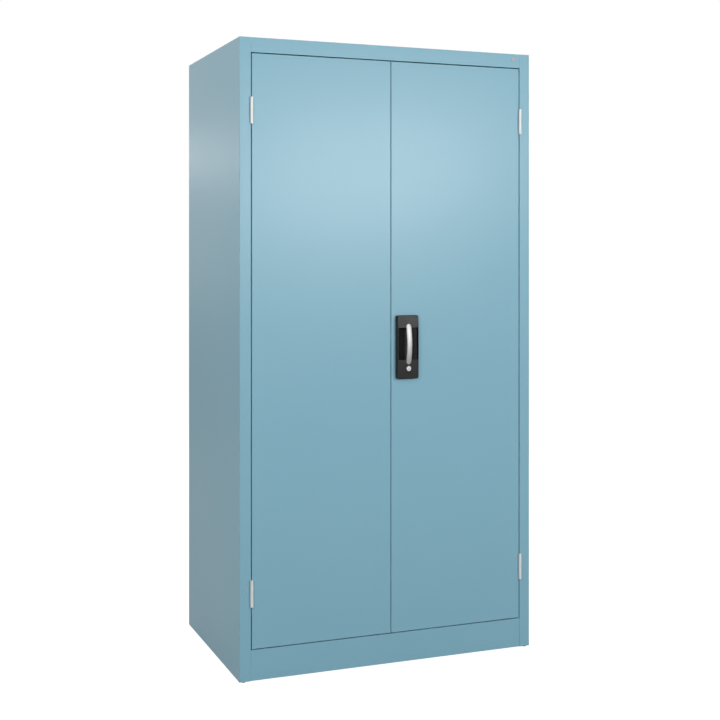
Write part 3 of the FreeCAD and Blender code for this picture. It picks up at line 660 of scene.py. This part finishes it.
def make_bow_strap():
    half = (bow_high.x - bow_low.x) / 2
    front = door_front - 20 * MM
    back = door_front - 10 * MM
    strap = block("bow_strap", (bow_low.x, front, bow_low.z), (bow_high.x, back, bow_high.z))
    start_edit(strap)
    round_edges(strap, lambda e: along(e, "y"), half - 0.02 * MM, 9)
    pick(strap, "VERT", lambda v: True)
    bpy.ops.mesh.remove_doubles(threshold=0.05 * MM)
    # Cuts across the round ends run through the corners that they already have
    foot = bow_low.z + bow_bottom_foot
    neck = bow_high.z - bow_top_foot
    slice_at(strap, "z", level_set(strap, "z")[1:-1])
    slice_at(strap, "z", [foot - 0.8 * MM, foot] + spread(foot, neck, bow_levels) + [neck, neck + 0.8 * MM])
    for z in level_set(strap, "z"):
        shift(
            strap, lambda v, z=z: close(v.co.z, z) and close(v.co.y, front),
            (0, door_front - bow_front_proud(z) - front, 0))
        shift(
            strap, lambda v, z=z: close(v.co.z, z) and close(v.co.y, back),
            (0, door_front - bow_back_proud(z) - back, 0))
    round_edges(strap, between_front_and_side(-1), 1.6 * MM, 4)
    round_edges(strap, between_front_and_side(1), 0.7 * MM, 2)
    # The front is crowned across: it falls back with the square of the distance from its middle line
    slice_at(strap, "x", [bow_x + half * part for part in bow_columns])
    for x in level_set(strap, "x"):
        drop = bow_crown * ((x - bow_x) / half) ** 2
        shift(
            strap, lambda v, x=x: close(v.co.x, x, 0.0001 * MM)
            and v.co.y < door_front - (bow_front_proud(v.co.z) + bow_back_proud(v.co.z)) / 2, (0, drop, 0))
    bpy.ops.mesh.select_all(action="SELECT")
    bpy.ops.mesh.remove_doubles(threshold=0.01 * MM)
    bpy.ops.mesh.normals_make_consistent(inside=False)
    end_edit()
    smooth(strap, 40)
    fit(strap, "handle", bow_metal)
    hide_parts("handle_bow")


make_bow_strap()


# Small hardware: screws, the lock's nut, label holders and ball strips

def make_screw(name, radius, height):
    # Pan-head screw whose head faces -Y, standing at the origin on its seat
    screw = round_bar(name, radius, height, (0, -height / 2, 0), "y", 20)
    start_edit(screw)
    round_edges(screw, lambda e: all(close(v.co.y, -height) for v in e.verts), height * 0.45, 3)
    end_edit()
    slot_width = radius * 0.26
    slot_length = radius * 0.62
    for size in ((slot_length, slot_width), (slot_width, slot_length)):
        carve(screw, block("slot", (-size[0], -2 * height, -size[1]), (size[0], -height * 0.45, size[1])))
    smooth(screw, 30)
    return screw


def turned_to_back(piece):
    # Turns a piece that faces -Y to face +Y
    hold(piece)
    piece.rotation_euler = (0, 0, math.pi)
    settle(piece)
    return piece


def screws_on_door_back():
    flange_y = door_front + 2 * door_sheet
    case_xs = (case_low.x + 5 * MM, case_high.x - 5 * MM)
    places = [(x, flange_y, z) for x in case_xs for z in (hub_z + 6 * MM, case_high.z - 5 * MM)]
    rod_xs = {name: sum(corner.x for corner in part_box(name)) / 2 for name in ("upper_rod", "lower_rod")}
    guide_low, guide_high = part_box("rod_guides")
    guide_reach = 8 * MM
    upper_x = case_low.x + 22 * MM
    lower_x = case_high.x - 22 * MM
    for x, zs in (
            (upper_x, (guide_high.z - guide_reach, 1300 * MM)), (lower_x, (guide_low.z + guide_reach, 700 * MM))):
        for z in zs:
            places += [(x + offset, guide_high.y, z) for offset in (-7.6 * MM, 7.6 * MM)]
    return places


def make_door_screws():
    pattern = turned_to_back(make_screw("door_screw", screw_radius, screw_height))
    screws = [copy_to(pattern, place) for place in screws_on_door_back()]
    bpy.data.objects.remove(pattern)
    fit(gather("door_screws", screws), "right_door", hinge_steel)


make_door_screws()


def make_lock_nut():
    seat = door_front + door_sheet
    nut = round_bar("lock_nut", nut_radius, nut_height, (bow_x, seat + nut_height / 2, lock_z), "y", 6)
    start_edit(nut)
    round_edges(nut, lambda e: all(close(v.co.y, seat + nut_height) for v in e.verts), 0.7 * MM, 2)
    end_edit()
    carve(nut, round_bar("nut_bore", lock_radius + 0.1 * MM, 30 * MM, (bow_x, seat, lock_z), "y", 48))
    smooth(nut, 30)
    fit(nut, "right_door", hinge_steel)


make_lock_nut()


def make_keyhole_shade():
    # A dark block just behind the key slot's mouth: painted shade standing in for the shadow deep inside the
    # keyhole
    width, depth, height = keyhole_shade_size
    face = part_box("lock_plug")[0].y + keyhole_shade_sink
    keyhole_shade = block(
        "keyhole_shade_block", (bow_x - width / 2, face, lock_z - height / 2),
        (bow_x + width / 2, face + depth, lock_z + height / 2))
    start_edit(keyhole_shade)
    round_edges(keyhole_shade, lambda e: along(e, "z") and all(close(v.co.y, face) for v in e.verts), 0.3 * MM, 2)
    end_edit()
    smooth(keyhole_shade, 40)
    fit(keyhole_shade, "lock", glide_plastic)


make_keyhole_shade()


def make_label_holders():
    # A pressed frame with a blank insert behind its rim
    width, depth, height = holder_size
    for number in drawer_numbers:
        low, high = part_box("drawer_%d_front" % number)
        x = (low.x + high.x) / 2
        z = high.z - holder_drop
        face = low.y
        holder = block(
            "label_holder_%d" % number, (x - width / 2, face - depth, z - height / 2),
            (x + width / 2, face, z + height / 2))
        start_edit(holder)
        round_edges(holder, lambda e: along(e, "y"), 2 * MM, 4)
        pick(holder, "FACE", lambda f: f.normal.y < -0.9)
        bpy.ops.mesh.inset(thickness=holder_rim, depth=0)
        bpy.ops.mesh.extrude_region_move(TRANSFORM_OT_translate={"value": (0, depth * 0.6, 0)})
        round_edges(holder, lambda e: all(close(v.co.y, face - depth) for v in e.verts), 0.4 * MM, 2)
        end_edit()
        smooth(holder, 30)
        fit(holder, "drawer_%d" % number, grip_aluminium)
        inset = holder_rim + 0.4 * MM
        card_face = face - depth * 0.4
        card = block(
            "label_insert_%d" % number, (x - width / 2 + inset, card_face - 0.35 * MM, z - height / 2 + inset),
            (x + width / 2 - inset, card_face - 0.02 * MM, z + height / 2 - inset))
        start_edit(card)
        round_edges(card, lambda e: along(e, "y"), 1.2 * MM, 3)
        end_edit()
        fit(card, "drawer_%d" % number, insert_white)


make_label_holders()


def make_ball_strip(name, x, y, z, radius):
    # A thin cage strip with a row of balls in it
    length = ball_pitch * balls_in_a_row
    strip = block(name, (x - 1.7 * MM, y, z - 0.2 * MM), (x + 1.7 * MM, y + length, z + 0.2 * MM))
    parts = [strip]
    for index in range(balls_in_a_row):
        bpy.ops.mesh.primitive_ico_sphere_add(
            subdivisions=2, radius=radius, location=(x, y + ball_pitch * (index + 0.5), z))
        settle(bpy.context.object)
        parts.append(bpy.context.object)
    return gather(name, parts)


def make_ball_cages():
    # Between outer and middle rail, and between middle and inner rail, above and below
    for number in drawer_numbers:
        mid_low, mid_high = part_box("drawer_%d_mid_rails" % number)
        z = (mid_low.z + mid_high.z) / 2
        y = mid_low.y + 40 * MM
        strips = []
        for wall, inward in ((mid_low.x - 3 * MM, 1), (mid_high.x + 3 * MM, -1)):
            for sign in (-1, 1):
                outer = (wall + inward * 6.2 * MM, z + sign * 19.5 * MM, 1.4 * MM)
                inner = (wall + inward * 8.8 * MM, z + sign * 15.25 * MM, 1.15 * MM)
                for x, strip_z, radius in (outer, inner):
                    strips.append(make_ball_strip("ball_strip", x, y, strip_z, radius))
        cages = gather("ball_cages_%d" % number, strips)
        smooth(cages, 50)
        fit(cages, "slide_%d" % number, hinge_steel)


make_ball_cages()


# The stage: pale floor, camera and soft light

def shown_rays(tree):
    # 1 for rays from the camera, mirrors and glass, 0 for diffuse light
    path = add(tree, "ShaderNodeLightPath")
    first = add(tree, "ShaderNodeMath", operation="MAXIMUM")
    second = add(tree, "ShaderNodeMath", operation="MAXIMUM")
    tree.links.new(path.outputs["Is Camera Ray"], first.inputs[0])
    tree.links.new(path.outputs["Is Glossy Ray"], first.inputs[1])
    tree.links.new(first.outputs["Value"], second.inputs[0])
    tree.links.new(path.outputs["Is Transmission Ray"], second.inputs[1])
    return second.outputs["Value"]


def make_floor():
    bpy.ops.mesh.primitive_plane_add(size=60, location=(0, 0, 0))
    floor = bpy.context.object
    floor.name = "studio_floor"
    material = bpy.data.materials.new("studio_floor")
    material.use_nodes = True
    tree = material.node_tree
    shader = tree.nodes["Principled BSDF"]
    shader.inputs["Base Color"].default_value = rgb(0.35, 0.35, 0.35)
    shader.inputs["Roughness"].default_value = 0.9
    shader.inputs["Specular IOR Level"].default_value = 0.0
    shader.inputs["Emission Color"].default_value = rgb(1, 1, 1)
    path = add(tree, "ShaderNodeLightPath")
    mirrored = add(tree, "ShaderNodeMath", operation="MAXIMUM")
    tree.links.new(path.outputs["Is Glossy Ray"], mirrored.inputs[0])
    tree.links.new(path.outputs["Is Transmission Ray"], mirrored.inputs[1])
    seen = add(tree, "ShaderNodeMath", operation="MULTIPLY")
    seen.inputs[1].default_value = 0.9
    tree.links.new(path.outputs["Is Camera Ray"], seen.inputs[0])
    # In mirrors the floor is dim before the object and bright beside and behind it
    place = add(tree, "ShaderNodeSeparateXYZ")
    tree.links.new(object_place(tree), place.inputs["Vector"])
    glow = add(tree, "ShaderNodeMapRange")
    glow.inputs["From Min"].default_value = -0.9
    glow.inputs["From Max"].default_value = -0.3
    glow.inputs["To Min"].default_value = 0.1
    glow.inputs["To Max"].default_value = 0.42
    tree.links.new(place.outputs["Y"], glow.inputs["Value"])
    lift = add(tree, "ShaderNodeMath", operation="MULTIPLY_ADD")
    tree.links.new(mirrored.outputs["Value"], lift.inputs[0])
    tree.links.new(glow.outputs["Result"], lift.inputs[1])
    tree.links.new(seen.outputs["Value"], lift.inputs[2])
    tree.links.new(lift.outputs["Value"], shader.inputs["Emission Strength"])
    floor.data.materials.append(material)


def make_world():
    world = bpy.data.worlds.new("studio_air")
    bpy.context.scene.world = world
    world.use_nodes = True
    tree = world.node_tree
    sky = tree.nodes["Background"]
    sky.inputs["Color"].default_value = rgb(1, 1, 1)
    level = add(tree, "ShaderNodeMapRange")
    level.inputs["To Min"].default_value = 0.3
    level.inputs["To Max"].default_value = 1.0
    tree.links.new(shown_rays(tree), level.inputs["Value"])
    tree.links.new(level.outputs["Result"], sky.inputs["Strength"])


def soft_box(name, place, target, width, height, power):
    data = bpy.data.lights.new(name, "AREA")
    data.shape = "RECTANGLE"
    data.size = width
    data.size_y = height
    data.energy = power
    lamp = bpy.data.objects.new(name, data)
    bpy.context.collection.objects.link(lamp)
    lamp.location = place
    lamp.rotation_euler = (Vector(target) - Vector(place)).to_track_quat("-Z", "Y").to_euler()
    return lamp


def make_camera():
    data = bpy.data.cameras.new("photograph_view")
    camera = bpy.data.objects.new("photograph_view", data)
    bpy.context.collection.objects.link(camera)
    camera.location = (-1.5516, -3.7092, 1.300)
    camera.rotation_euler = (math.radians(90), 0, math.radians(-20))
    data.sensor_width = 36.0
    data.lens = 59.285
    data.shift_x = 0.0833
    data.shift_y = -0.149
    bpy.context.scene.camera = camera


make_floor()
make_world()
make_camera()
soft_box("key_left", (-2.8, -3.6, 2.6), (0.0, -0.28, 1.3), 2.0, 2.0, 79.0)
soft_box("side_left", (-4.0, 0.5, 2.8), (-0.5, 0.0, 1.3), 2.0, 2.0, 38.0)
soft_box("strip_front", (1.45, -3.8, 1.94), (0.0, -0.28, 1.6), 1.8, 0.3, 42.5)
soft_box("front_low", (-0.4, -5.5, 1.0), (0.0, -0.28, 1.0), 3.0, 1.2, 17.0)
soft_box("band_front", (1.2, -3.8, 1.65), (0.0, -0.28, 1.4), 1.6, 0.4, 32.0)
soft_box("strip_back_left", (-1.6, 3.9, 1.94), (-0.5, 0.0, 1.6), 2.2, 0.3, 2.3)
soft_box("fill_right", (4.2, 0.9, 2.3), (0.5, 0.1, 1.1), 2.0, 1.8, 60.0)
soft_box("fill_back", (0.9, 4.3, 2.3), (0.1, 0.3, 1.1), 2.0, 1.8, 60.0)
bpy.context.scene.view_settings.view_transform = "Standard"
